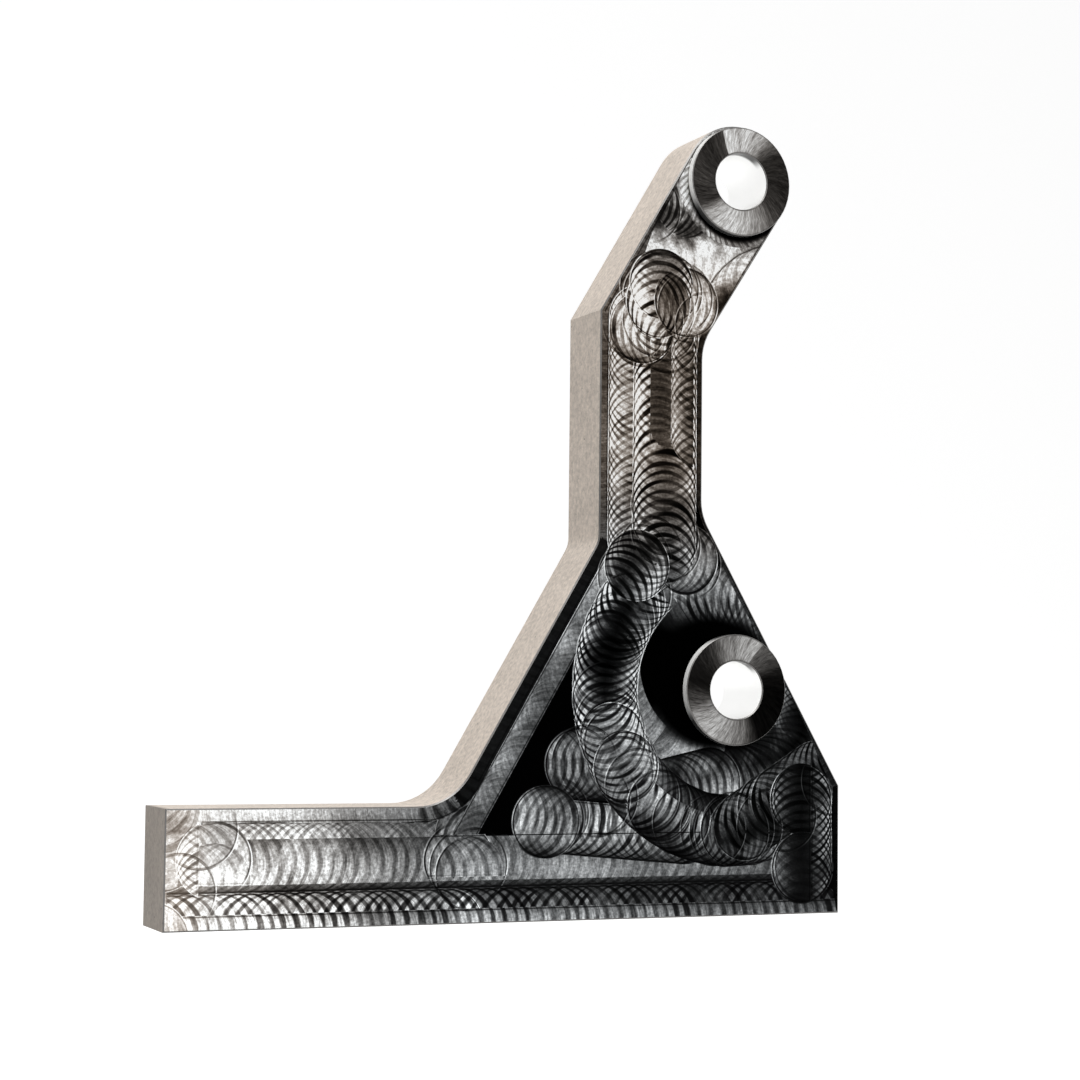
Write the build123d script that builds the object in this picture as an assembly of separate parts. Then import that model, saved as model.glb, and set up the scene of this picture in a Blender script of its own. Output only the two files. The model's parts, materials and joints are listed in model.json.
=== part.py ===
from build123d import *
import os
from math import asin, degrees, radians, sqrt, tan

# An engine brace cut in one piece from thick plate: a long foot, a gusset with the lower bolt
# hole, and a cranked arm that carries the upper one. All sizes are millimetres. The outline is
# measured from the heel, the foot's upright end face under the gusset, and from the underside.

# Plate
stock_thickness = 19.05
boss_height = 2.0
edge_break = 0.3

# Foot
foot_length = 157.3
foot_height = 25.0
heel_height = 28.9

# Gusset, from the foot up to the arm
gusset_length = 94.9
gusset_left_height = 83.0
gusset_right_height = 89.9

# Arm, with its crank measured down from the upper bolt hole
heel_to_arm = 35.6
arm_width = 25.4
crank_left_drop = 31.7
crank_right_drop = 37.6

# Bolt holes and the round bosses left standing proud around them
bolt_hole_diameter = 13.0
hole_edge_break = 0.25
boss_diameter = 25.0
boss_edge_break = 0.2
arm_end_land = 0.6
heel_to_upper_hole = 27.0
upper_hole_height = 166.2
heel_to_lower_hole = 27.6
lower_hole_height = 50.5

# Inside corners of the outline
toe_radius = 14.0
gusset_left_radius = 6.0
gusset_right_radius = 12.0
crank_right_radius = 13.0
most_of_a_side = 0.45

# Sizes that follow from those above
face_thickness = stock_thickness - boss_height
heel_to_arm_left = heel_to_arm + arm_width
crank_left_height = upper_hole_height - crank_left_drop
crank_right_height = upper_hole_height - crank_right_drop
bolt_hole_radius = bolt_hole_diameter / 2
boss_radius = boss_diameter / 2
arm_end_radius = boss_radius + arm_end_land

# The plate stands on its underside, centred across its length and through its thickness, with
# the milled face to the front. Sketches are drawn on the back face and grow towards the front.
back_face = Plane.XZ.offset(-stock_thickness / 2)


def at(from_heel, height):
    """A point of the outline, measured from the heel and from the underside."""
    return Vector(foot_length / 2 - from_heel, height)


def touch_point(corner, centre, radius, turn):
    """Where a straight side from a corner runs into the round of the arm's end."""
    reach = centre - corner
    swing = turn * degrees(asin(radius / reach.length))
    side_length = sqrt(reach.length**2 - radius**2)
    return corner + reach.normalized().rotate(Axis.Z, swing) * side_length


def round_corner(face, before, corner, after, radius):
    """Rounds one corner of the outline, with less than its radius if its sides are too short."""
    one_side = before - corner
    other_side = after - corner
    half_angle = radians(one_side.get_angle(other_side) / 2)
    room = most_of_a_side * min(one_side.length, other_side.length) * tan(half_angle)
    nearest = face.vertices().sort_by_distance(corner)[0]
    return fillet(nearest, min(radius, room))


def plate_outline():
    """The brace's outline, as the plate was cut."""
    foot_end = at(foot_length, foot_height)
    toe = at(gusset_length, foot_height)
    gusset_left = at(heel_to_arm_left, gusset_left_height)
    crank_left = at(heel_to_arm_left, crank_left_height)
    crank_right = at(heel_to_arm, crank_right_height)
    gusset_right = at(heel_to_arm, gusset_right_height)
    heel_top = at(0, heel_height)
    arm_end = at(heel_to_upper_hole, upper_hole_height)
    left_touch = touch_point(crank_left, arm_end, arm_end_radius, 1)
    right_touch = touch_point(crank_right, arm_end, arm_end_radius, -1)
    outwards = (arm_end - (crank_left + crank_right) / 2).normalized()
    arm_tip = arm_end + outwards * arm_end_radius
    sides = Polyline(
        left_touch,
        crank_left,
        gusset_left,
        toe,
        foot_end,
        at(foot_length, 0),
        at(0, 0),
        heel_top,
        gusset_right,
        crank_right,
        right_touch,
    )
    end_round = ThreePointArc(right_touch, arm_tip, left_touch)
    face = make_face(sides.edges() + end_round.edges())
    face = round_corner(face, foot_end, toe, gusset_left, toe_radius)
    face = round_corner(face, toe, gusset_left, crank_left, gusset_left_radius)
    face = round_corner(face, heel_top, gusset_right, crank_right, gusset_right_radius)
    face = round_corner(face, gusset_right, crank_right, right_touch, crank_right_radius)
    return face


def milled_plate(outline):
    """The plate below its bosses, with the edges of its front and back broken."""
    plate = extrude(back_face * outline, face_thickness)
    through = plate.faces().sort_by(Axis.Y)
    return chamfer(through[0].edges() + through[-1].edges(), edge_break)


def boss(outline, middle):
    """A round boss left at the plate's full thickness, within the plate's outline."""
    centre = back_face * Pos(middle)
    column = extrude(centre * Circle(boss_radius), stock_thickness)
    front_rim = column.faces().sort_by(Axis.Y)[0].edges()
    column = chamfer(front_rim, boss_edge_break)
    return column & extrude(back_face * outline, stock_thickness)


def bolt_hole(middle):
    """The space of a plain bolt hole right through, with both of its mouths broken."""
    mouth_radius = bolt_hole_radius + hole_edge_break
    half_section = Polyline(
        (0, 0),
        (mouth_radius, 0),
        (bolt_hole_radius, hole_edge_break),
        (bolt_hole_radius, stock_thickness - hole_edge_break),
        (mouth_radius, stock_thickness),
        (0, stock_thickness),
        close=True,
    )
    turned = revolve(Plane.XZ * make_face(half_section), Axis.Z)
    return back_face * Pos(middle) * turned


def engine_brace():
    """The whole brace: milled plate, two bosses, two bolt holes."""
    outline = plate_outline()
    upper_hole = at(heel_to_upper_hole, upper_hole_height)
    lower_hole = at(heel_to_lower_hole, lower_hole_height)
    brace = milled_plate(outline)
    for middle in (upper_hole, lower_hole):
        brace += boss(outline, middle)
        brace -= bolt_hole(middle)
    return brace


os.makedirs("parts", exist_ok=True)
brace = engine_brace().solid()
brace.label = "engine_brace"
export_step(brace, "parts/engine_brace.step")
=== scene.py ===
# %% [markdown]
# # Engine brace
#
# The real object is one piece of 3/4 in aluminium plate. Its outline was cut, so the side walls
# are dull, and its front face was then milled down round two bosses, so that face is covered with
# bright, overlapping cutter marks. Those marks are what the eye sees first, so most of this lesson
# is about them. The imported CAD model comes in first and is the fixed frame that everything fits.

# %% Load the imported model
import json
from dataclasses import dataclass
from math import asin, atan2, ceil, cos, degrees, hypot, pi, radians, sin
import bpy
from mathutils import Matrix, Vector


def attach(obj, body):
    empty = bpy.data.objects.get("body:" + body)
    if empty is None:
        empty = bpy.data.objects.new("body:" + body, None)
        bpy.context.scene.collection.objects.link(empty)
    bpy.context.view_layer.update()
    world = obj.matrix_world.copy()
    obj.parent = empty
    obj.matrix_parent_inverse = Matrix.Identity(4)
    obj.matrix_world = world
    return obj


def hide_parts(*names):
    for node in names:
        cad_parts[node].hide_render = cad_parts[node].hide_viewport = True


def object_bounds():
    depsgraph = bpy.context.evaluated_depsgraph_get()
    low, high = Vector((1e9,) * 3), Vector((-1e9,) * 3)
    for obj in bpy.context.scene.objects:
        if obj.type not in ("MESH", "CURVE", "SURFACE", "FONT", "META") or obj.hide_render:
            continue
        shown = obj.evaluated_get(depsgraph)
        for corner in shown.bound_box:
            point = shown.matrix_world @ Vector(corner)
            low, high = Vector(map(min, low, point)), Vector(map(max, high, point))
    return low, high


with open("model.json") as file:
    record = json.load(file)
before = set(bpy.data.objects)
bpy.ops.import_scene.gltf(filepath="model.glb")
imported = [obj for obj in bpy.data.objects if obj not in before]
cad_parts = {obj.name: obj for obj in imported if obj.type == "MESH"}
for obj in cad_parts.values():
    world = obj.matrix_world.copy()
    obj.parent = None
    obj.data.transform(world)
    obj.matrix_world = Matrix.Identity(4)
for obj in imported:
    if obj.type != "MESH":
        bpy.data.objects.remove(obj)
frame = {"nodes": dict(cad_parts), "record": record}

from types import SimpleNamespace
from typing import NamedTuple

import bmesh
import bpy
import numpy as np
from mathutils import Matrix, Vector
from mathutils.geometry import delaunay_2d_cdt
from mathutils.kdtree import KDTree

cad_box = [list(corner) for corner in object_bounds()]
cad_brace = frame["nodes"]["engine_brace"]
print("CAD box in mm:", [[round(1000 * c, 2) for c in corner] for corner in cad_box])

# %% [markdown]
# ## Node trees written as sums
#
# A shader or a Geometry Nodes tree is a graph of small sums. Wiring them by hand hides what they
# say, so one small class wraps a socket and overloads the operators: `1 - mask` then adds a Math
# node. Every other node comes from one method that takes its type, its settings and its sockets.

# %% A socket that Python can reckon with
class Value:
    """One output socket of a node tree. Sums on it add Math nodes to that tree."""

    def __init__(self, tree, socket):
        self.tree = tree
        self.socket = socket

    def math(self, operation, *inputs):
        return self.tree.node("ShaderNodeMath", enumerate(inputs), operation=operation)

    def __add__(self, other):
        return self.math("ADD", self, other)

    def __sub__(self, other):
        return self.math("SUBTRACT", self, other)

    def __rsub__(self, other):
        return self.math("SUBTRACT", other, self)

    def __mul__(self, other):
        return self.math("MULTIPLY", self, other)

    def __truediv__(self, other):
        return self.math("DIVIDE", self, other)

    def __pow__(self, other):
        return self.math("POWER", self, other)

    __radd__ = __add__
    __rmul__ = __mul__

    def at_least(self, other):
        return self.math("MAXIMUM", self, other)

    def at_most(self, other):
        return self.math("MINIMUM", self, other)

    def above(self, other):
        """1 where this value is the greater one, else 0."""
        return self.math("GREATER_THAN", self, other)

    def absolute(self):
        return self.math("ABSOLUTE", self)

    def root(self):
        return self.math("SQRT", self)

    def sine(self):
        return self.math("SINE", self)

    def cosine(self):
        return self.math("COSINE", self)

    def arc_sine(self):
        return self.math("ARCSINE", self)

    def step(self, low, high):
        """0 below low, 1 above high and a smooth rise between them; high may be the smaller."""
        sockets = {"Value": self, 1: low, 2: high}
        return self.tree.node("ShaderNodeMapRange", sockets, interpolation_type="SMOOTHSTEP")

    def mix(self, first, second):
        """first where this value is 0, second where it is 1."""
        return first + (second - first) * self


# %% A tree that makes its own nodes
class Tree:
    """A node tree of a material, a world or a Geometry Nodes modifier."""

    def __init__(self, nodes):
        self.nodes = nodes.nodes
        self.links = nodes.links

    def node(self, kind, sockets=(), output=0, **settings):
        """Makes a node and gives its wanted output, or nothing where it has none."""
        made = self.nodes.new(kind)
        for name, setting in settings.items():
            if name == "stops":
                self.set_ramp(made.color_ramp, setting)
            else:
                setattr(made, name, setting)
        for name, value in dict(sockets).items():
            self.feed(made.inputs[name], value)
        return Value(self, made.outputs[output]) if made.outputs else None

    def feed(self, socket, value):
        if isinstance(value, Value):
            self.links.new(value.socket, socket)
        else:
            socket.default_value = value

    def set_ramp(self, ramp, stops):
        """Fills a ramp from (place, (red, green, blue)) pairs."""
        while len(ramp.elements) < len(stops):
            ramp.elements.new(1.0)
        for element, (place, colour) in zip(ramp.elements, stops):
            element.position = place
            element.color = (*colour, 1.0)

    def vector(self, x, y, z):
        return self.node("ShaderNodeCombineXYZ", {0: x, 1: y, 2: z})

    def parts(self, vector):
        """The three numbers of a vector, as sockets."""
        split = self.node("ShaderNodeSeparateXYZ", {0: vector})
        return [Value(self, out) for out in split.socket.node.outputs]

    def noise(self, vector, scale=1.0, detail=2.0, roughness=0.5):
        sockets = {"Vector": vector, "Scale": scale, "Detail": detail, "Roughness": roughness}
        return self.node("ShaderNodeTexNoise", sockets)

    def noise_at(self, x, y, z, detail=0.0, roughness=0.5):
        """Noise at a place that is already counted in the noise's own cells."""
        return self.noise(self.vector(x, y, z), 1.0, detail, roughness)

    def blend(self, factor, first, second):
        """Mixes two colours."""
        sockets = {0: factor, 6: first, 7: second}
        return self.node("ShaderNodeMix", sockets, output=2, data_type="RGBA")


def empty_tree(owner):
    """The node tree of a material or a world, with nothing in it yet."""
    owner.use_nodes = True
    owner.node_tree.nodes.clear()
    return Tree(owner.node_tree)


def distance(over, up):
    """How far away a point is that lies so much to the right and so much above."""
    return (over * over + up * up).root()


def turn_to(over, up):
    """The angle at which such a point lies, in radians anticlockwise from the right."""
    return over.math("ARCTAN2", up, over)


print("A sum such as 1 - mask is now one Math node, and distance() is four of them")

# %% [markdown]
# ## Camera
#
# The photograph was taken from the left and a little below the middle, with a longish lens: the
# walls on the left show and the right ones hide. The camera's place and lens were worked out from
# the plate's straight edges and round holes, and are in metres in the part's own frame.

# %% Place the camera
def add_object(name, data):
    """A new object in the scene that shows a mesh, a lamp or a camera."""
    made = bpy.data.objects.new(name, data)
    bpy.context.collection.objects.link(made)
    return made


sensor_width = 36.0
lens_length = 78.86
camera_place = Vector((-0.1989, -0.4817, 0.0488))
camera_aim = Vector((0.0035, -0.0075, 0.0827))
camera_roll = radians(0.61)

camera_data = bpy.data.cameras.new("camera")
camera_data.sensor_width = sensor_width
camera_data.lens = lens_length
camera_data.clip_start = 0.01
camera_data.clip_end = 20.0
camera = add_object("camera", camera_data)
towards = (camera_aim - camera_place).to_track_quat("-Z", "Y").to_matrix().to_4x4()
camera.matrix_world = Matrix.Translation(camera_place) @ towards @ Matrix.Rotation(camera_roll, 4, "Z")
bpy.context.scene.camera = camera
bpy.context.scene.view_settings.view_transform = "Standard"
print("Camera distance in mm:", round(1000 * (camera_aim - camera_place).length))

# %% [markdown]
# ## Floor, backdrop and light
#
# The photograph has a plain white surround. One curved sheet makes floor and backdrop together, so
# no horizon shows. To the camera and to the metal it looks white; it is a pale matt surface to all
# other light, so the brace keeps its shadow. A big soft lamp high on the left and a weaker one on
# the right give the walls their different greys, and the even world light fills the rest.

# %% Make a white sheet that sweeps up behind the brace
def make_sweep_sheet(width=4.0, front=-2.2, back=1.4, height=2.6, bend=0.8, steps=16):
    """A floor that curves up into a backdrop, as one mesh."""
    curve = [(front, 0.0), (back - bend, 0.0)]
    for number in range(1, steps + 1):
        angle = number / steps * pi / 2
        curve.append((back - bend + bend * sin(angle), bend - bend * cos(angle)))
    curve.append((back, height))
    corners = [(side * width / 2, y, z) for y, z in curve for side in (-1, 1)]
    faces = [(2 * row, 2 * row + 1, 2 * row + 3, 2 * row + 2) for row in range(len(curve) - 1)]
    mesh = bpy.data.meshes.new("white_sheet")
    mesh.from_pydata(corners, [], faces)
    return add_object("white_sheet", mesh)


def seen_by(tree):
    """1 for rays that come straight from the camera, and 1 for those that come by way of metal."""
    path = tree.nodes.new("ShaderNodeLightPath")
    camera_ray = Value(tree, path.outputs["Is Camera Ray"])
    glossy_ray = Value(tree, path.outputs["Is Glossy Ray"])
    clear_ray = Value(tree, path.outputs["Is Transmission Ray"])
    return camera_ray, glossy_ray.at_least(clear_ray)


def paint_white_sheet():
    """Matt white with just enough glow, for the camera and the metal, to reach full white."""
    material = bpy.data.materials.new("white_sheet")
    tree = empty_tree(material)
    matt = tree.node("ShaderNodeBsdfDiffuse", {"Color": (0.5, 0.5, 0.5, 1.0)})
    to_camera, to_metal = seen_by(tree)
    glow = tree.node("ShaderNodeEmission", {"Strength": to_camera.at_least(to_metal) * sheet_glow})
    both = tree.node("ShaderNodeAddShader", {0: matt, 1: glow})
    tree.node("ShaderNodeOutputMaterial", {"Surface": both})
    return material


sheet_glow = 0.8
white_sheet = make_sweep_sheet()
white_sheet.data.materials.append(paint_white_sheet())
for face in white_sheet.data.polygons:
    face.use_smooth = True
print("White sheet:", len(white_sheet.data.polygons), "faces")

# %% Light it softly
world_light = 0.28
metal_sees = 0.8
key_power = 8.2
fill_power = 1.0


def make_world():
    world = bpy.data.worlds.new("studio")
    tree = empty_tree(world)
    white = (1.0, 1.0, 1.0, 1.0)
    to_camera, to_metal = seen_by(tree)
    strength = to_metal * (metal_sees - world_light) + to_camera * (1 - world_light) + world_light
    light = tree.node("ShaderNodeBackground", {"Color": white, "Strength": strength})
    tree.node("ShaderNodeOutputWorld", {"Surface": light})
    bpy.context.scene.world = world


def make_lamp(name, place, size, power):
    """A square soft lamp that points at the middle of the brace."""
    data = bpy.data.lights.new(name, "AREA")
    data.shape = "SQUARE"
    data.size = size
    data.energy = power
    lamp = add_object(name, data)
    lamp.location = place
    middle = Vector(((cad_box[0][0] + cad_box[1][0]) / 2, 0.0, cad_box[1][2] / 2))
    lamp.rotation_euler = (middle - lamp.location).to_track_quat("-Z", "Y").to_euler()
    return lamp


make_world()
make_lamp("key", Vector((-0.22, -0.43, 0.96)), 0.6, key_power)
make_lamp("fill", Vector((0.8, -0.6, 0.5)), 0.8, fill_power)
print("World light", world_light, "with two soft lamps of", key_power, "and", fill_power, "W")

# %% [markdown]
# ## The brace's own mesh
#
# The CAD mesh is right in shape but its milled face is a few long triangles. The finish needs to
# know, at every point of that face, which cutter pass made it. So the brace is copied, its loose
# triangles are joined, and only the flat milled face is filled again with small ones. Every edge
# break, wall, boss and bore stays exactly as the CAD model has it.

# %% Copy the CAD mesh and sort its faces
mm = 0.001
same_point = 0.001 * mm
facing = 0.99
level_tolerance = 0.01 * mm
boss_level = cad_box[0][1]
back_level = cad_box[1][1]
half_length = cad_box[1][0]
mounts = {mount["name"]: mount for mount in frame["record"]["mounts"]}


def plate_point(position):
    """A place in the part's frame as (x, z) in millimetres from the foot's free end.

    The place is three numbers, or three sockets of a node tree.
    """
    return (position[0] + half_length) / mm, position[2] / mm


bolt_hole_radius = mounts["upper_bolt_hole"]["dims"]["r_mm"]
upper_hole = plate_point(mounts["upper_bolt_hole"]["pos_m"])
lower_hole = plate_point(mounts["lower_bolt_hole"]["pos_m"])
between_holes = (upper_hole[1] + lower_hole[1]) / 2

brace_mesh = bmesh.new()
brace_mesh.from_mesh(cad_brace.data)
pass_number = brace_mesh.faces.layers.int.new("pass_number")
bmesh.ops.remove_doubles(brace_mesh, verts=brace_mesh.verts, dist=same_point)
front_faces = [face for face in brace_mesh.faces if face.normal.y < -facing]
floor_level = max(face.calc_center_median().y for face in front_faces)
print("Milled face lies", round((floor_level - boss_level) / mm, 3), "mm behind the boss faces")

# %% Name the region that each face belongs to
regions = [
    "milled_face", "upper_boss", "lower_boss", "boss_wall",
    "edge_break", "cut_wall", "bore", "back_face",
]


def region_of(face):
    """The region of the brace that a face of the CAD mesh is part of."""
    middle = face.calc_center_median()
    x, z = plate_point(middle)
    from_upper, from_lower = (hypot(x - hole[0], z - hole[1]) for hole in (upper_hole, lower_hole))
    if face.normal.y > facing:
        return "back_face"
    if face.normal.y < -facing:
        if abs(middle.y - floor_level) < level_tolerance:
            return "milled_face"
        return "upper_boss" if from_upper < from_lower else "lower_boss"
    if abs(face.normal.y) > 1 - facing:
        return "edge_break"
    if min(from_upper, from_lower) < bolt_hole_radius + 1:
        return "bore"
    return "boss_wall" if middle.y < floor_level else "cut_wall"


for face in brace_mesh.faces:
    face.material_index = regions.index(region_of(face))
floor_faces = [face for face in brace_mesh.faces if face.material_index == 0]
rim_edges = [
    edge
    for edge in brace_mesh.edges
    if sum(face.material_index == 0 for face in edge.link_faces) == 1
]
plate_middle = (floor_level + back_level) / 2
wall_and_break = {regions.index("cut_wall"), regions.index("edge_break")}
wall_edges = [
    edge
    for edge in brace_mesh.edges
    if {face.material_index for face in edge.link_faces} == wall_and_break
    and edge.verts[0].co.y < plate_middle
]
for name in regions:
    print(name, sum(face.material_index == regions.index(name) for face in brace_mesh.faces))
print("Rim of the milled face:", len(rim_edges), "edges; front of the walls:", len(wall_edges))

# %% [markdown]
# ## Cutter passes
#
# The face was cleared with a 5/8 in end mill. Each pass leaves a band as wide as the cutter with
# two families of arcs: one from the cutter's leading edge and one from its trailing edge. A pass
# is either straight or swept round a centre, and a later pass wipes out what an earlier one left.
# So the passes are listed in the order they were cut, in millimetres from the foot's free end and
# from the underside.
#
# `low` and `high` say how much of the band's width shows its marks, measured to the left of the way
# the cutter moves. A pass that lies `within` another shows only where the two overlap. Each line
# of the lists has one bracket of four numbers: its marks, in the order that `Marks` names.

# %% Name the marks of a pass
cutter_radius = 7.94
usual_pitch = 2.7
endless = 1000.0


class Marks(NamedTuple):
    """How a pass looks.

    How black the arcs of the cutter's front edge are, how black those of its back edge, how bright
    the grooves shine, and how much of that light even the darkest groove keeps.
    """

    ahead: float
    behind: float
    shine: float
    least: float


print("Cutter diameter", 2 * cutter_radius, "mm, usual mark spacing", usual_pitch, "mm")

# %% Describe one pass
@dataclass(eq=False)
class CutterPass:
    """One band of cutter marks, straight or swept round a centre when it has a bend."""

    name: str
    place: tuple
    angle: float
    reach: float
    bend: float
    marks: Marks
    low: float = -cutter_radius
    high: float = cutter_radius
    pitch: float = usual_pitch
    curl: float = 1.0
    border: float = 1.0
    seed: int = None
    within: object = None

    def along_and_across(self, x, z):
        """How far along the pass, from its middle, and how far to its left a point lies."""
        over, up = x - self.place[0], z - self.place[1]
        forward = over * cos(self.angle) + up * sin(self.angle)
        left = up * cos(self.angle) - over * sin(self.angle)
        if not self.bend:
            return forward, left
        return self.bend * np.arctan2(left, forward), self.bend - np.hypot(forward, left)

    def covers(self, x, z):
        along, across = self.along_and_across(x, z)
        past_end = np.maximum(np.abs(along) - self.reach, 0)
        shows = (across > self.low) & (across < self.high)
        if self.within:
            shows = shows & self.within.covers(x, z)
        if self.bend:
            return shows & (past_end == 0)
        round_end = past_end**2 + np.minimum(np.abs(across), cutter_radius) ** 2 <= cutter_radius**2
        return shows & (round_end | (past_end == 0))

    def plate_place(self, forward, left):
        """Where a point lies on the plate that is so far forward and left of the pass's place."""
        return (
            self.place[0] + forward * cos(self.angle) - left * sin(self.angle),
            self.place[1] + forward * sin(self.angle) + left * cos(self.angle),
        )

    def outline(self, step=radians(5)):
        """The band's edge as a closed line of points."""
        if self.bend:
            count = ceil(2 * self.reach / self.bend / step)
            stations = np.linspace(-self.reach, self.reach, count + 1) / self.bend + self.angle
            rings = ((self.bend - self.low, stations), (self.bend - self.high, stations[::-1]))
            return [
                (self.place[0] + ring * cos(turn), self.place[1] + ring * sin(turn))
                for ring, turns in rings
                for turn in turns
            ]
        sides = (self.low, self.high)
        first, last = (asin(max(-1, min(1, side / cutter_radius))) for side in sides)
        turns = np.linspace(first, last, ceil((last - first) / step) + 1)
        return [
            self.plate_place(way * (self.reach + cutter_radius * cos(turn)), cutter_radius * sin(turn))
            for way, order in ((1, turns), (-1, turns[::-1]))
            for turn in order
        ]


print("A pass has", list(CutterPass.__dataclass_fields__))

# %% [markdown]
# A machinist thinks of three moves: straight on, round a centre, and a stop. Each gets a function
# that takes the numbers such a move has, so the lists below read like a plan of the work. A move
# with unseen marks was never cut: it only says how far another one shows.

# %% Name the three moves
stop_length = 0.2
unseen = (0, 0, 0, 0)


def straight(name, start, end, marks, **more):
    """A pass from start to end, round at both ends as the cutter is."""
    middle = ((start[0] + end[0]) / 2, (start[1] + end[1]) / 2)
    angle = atan2(end[1] - start[1], end[0] - start[0])
    reach = hypot(end[0] - start[0], end[1] - start[1]) / 2
    return CutterPass(name, middle, angle, reach, 0.0, Marks(*marks), **more)


def swept(name, centre, bend, first, last, marks, **more):
    """A pass swept anticlockwise round a centre, from one angle to another in degrees."""
    angle = radians(first + last) / 2
    reach = bend * radians(last - first) / 2
    return CutterPass(name, centre, angle, reach, bend, Marks(*marks), **more)


def stop(name, place, heading, marks, **more):
    """A round patch where the cutter paused, with the marks of that heading."""
    turn = radians(heading)
    end = (place[0] + stop_length * cos(turn), place[1] + stop_length * sin(turn))
    return straight(name, place, end, marks, **more)


print("A stop still moves", stop_length, "mm, so that it has a heading")

# %% List the passes that reach the edges of the foot
bottom = {"pitch": 2.75, "seed": 3}
foot_passes = [
    straight("foot_upper", (10.4, 14.3), (58.4, 14.3), (0.32, 0.32, 0.84, 0.55), pitch=2.2),
    straight("foot_shoulder", (2.5, 15.5), (150, 15.5), (0.4, 0.2, 0.62, 0.1), high=-5.4),
    straight("foot_main", (5, 13.4), (150, 13.4), (0.36, 0.15, 0.73, 0.3), low=-4.2, high=5.2, border=0),
    straight("bottom_right", (7, -0.3), (150, -0.3), (0.8, 0.75, 0.65, 0.3), low=2, **bottom),
    straight("bottom_left", (1.5, -0.3), (62, -0.3), (0.72, 0.72, 1.08, 0.35), low=2, **bottom),
    straight("underside", (3, -0.3), (150, -0.3), (0.72, 0.05, 0.98, 0.1), low=0, high=3.55, **bottom),
]
for item in foot_passes:
    print(item.name, "reaches", round(item.reach, 1), "mm each way")

# %% List the passes round the lower boss
boss_sweep = 31.6
ring_sweep = 20.6
crescent_centre = (124.6, 56.4)
crescent_sweep = 21.1
crescent = {"low": -3.5, "high": 3.0, "curl": 0.15, "border": 0}
hair_line = {"low": -0.12, "high": 0.12, "border": 0}
ring = (lower_hole, ring_sweep)
outer = (lower_hole, boss_sweep)
gusset_side = straight("gusset_side", (60, -1), (108.3, 81.7), unseen, low=3, high=30)
boss_passes = [
    stop("gusset_start", (66.6, 18.9), 150, (0.6, 0.4, 0.78, 0.3), pitch=2.2, within=gusset_side),
    straight("gusset_band", (69.1, 14.6), (108.3, 81.7), (0.18, 0.18, 0.66, 0.42), low=2.8, pitch=2.2),
    stop("foot_pause_early", (64.0, 13.6), 0, (0.45, 0.25, 0.88, 0.4), low=-3.6, high=5.4),
    stop("foot_pause", (66.7, 10.7), 0, (0.4, 0.2, 0.85, 0.35), low=-0.7, border=0.3),
    swept("ring", *ring, 126, 240, (0.2, 0, 1.22, -0.1), curl=0.15),
    swept("crescent", crescent_centre, crescent_sweep, 172, 196, (0.2, 0, 0.7, 0.5), **crescent),
    swept("crescent_end", crescent_centre, crescent_sweep, 196, 231, (0.2, 0, 0.78, 0.5), **crescent),
    swept("ring_late", *ring, 240, 268, (0.2, 0, 0.75, -0.1), curl=0.15),
    swept("ring_below", *ring, 262, 325, (0.7, 0.3, 0.78, 0), pitch=2.1),
    straight("ring_start", (113, 27.2), (124, 29.7), (0.6, 0.3, 1.05, 0), pitch=2.1),
    swept("ring_above", *ring, -35, 126, (0.75, 0.5, 0.85, 0.02), pitch=2.0),
    straight("gusset_entry", (103, 33.9), (91.8, 33.9), (0.5, 0.6, 0.62, 0.1), pitch=2.2),
    straight("low_fringe", (88, 22.3), (118, 19.6), (0.8, 0.5, 1, 0.15), high=4, pitch=2.4),
    stop("under_boss_early", (127, 19.3), 340, (0.9, 0.5, 0.6, 0.1), pitch=2.0),
    swept("outer_low", *outer, 215, 304, (0.85, 0.42, 1.05, 0.05), pitch=2.2),
    stop("outer_low_pause", (111.7, 24.8), 330, (0.85, 0.3, 1, 0.1), pitch=2.4),
    swept("outer_hollow", *outer, 215, 264, (0.7, 0.4, 0.5, 0.05), low=3.4, pitch=2.2, border=0.3),
    stop("gusset_corner", (84.2, 21.5), 350, (0.6, 0.35, 0.86, 0.1), pitch=2.3),
    swept("outer_left", *outer, 130, 215, (0.92, 0.85, 1.5, 0.03), pitch=2.1),
    stop("outer_left_pause", (100, 39.6), 290, (0.85, 0.3, 1, 0.58), pitch=2.0),
    stop("outer_left_end", (103.3, 33.3), 300, (0.8, 0.4, 0.9, 0.5), pitch=2.0),
    straight("main_edge", (79, 18.75), (134, 18.75), (0.8, 0.3, 0.08, 0.1), **hair_line),
    stop("under_boss", (129.8, 19), 0, (0.92, 0.5, 0.6, 0.05), pitch=2.2),
    straight("heel_climb", (133, 20.1), (151, 31.2), (0.5, 0.95, 0.62, 0.05), pitch=2.2),
    straight("heel_column", (147.5, 10.2), (147.5, 25.8), (0.9, 0.9, 1.4, 0.1), high=-2.5, pitch=1.9),
    stop("heel_pause", (147.4, 25.9), 90, (0.8, 0.5, 0.95, 0.08), low=-2.6, pitch=2.0),
    stop("heel_low_pause", (147.8, 10.4), 90, (0.3, 0.3, 0.9, 0.1), low=-2.3),
]
print(len(boss_passes), "passes on the gusset")

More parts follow.
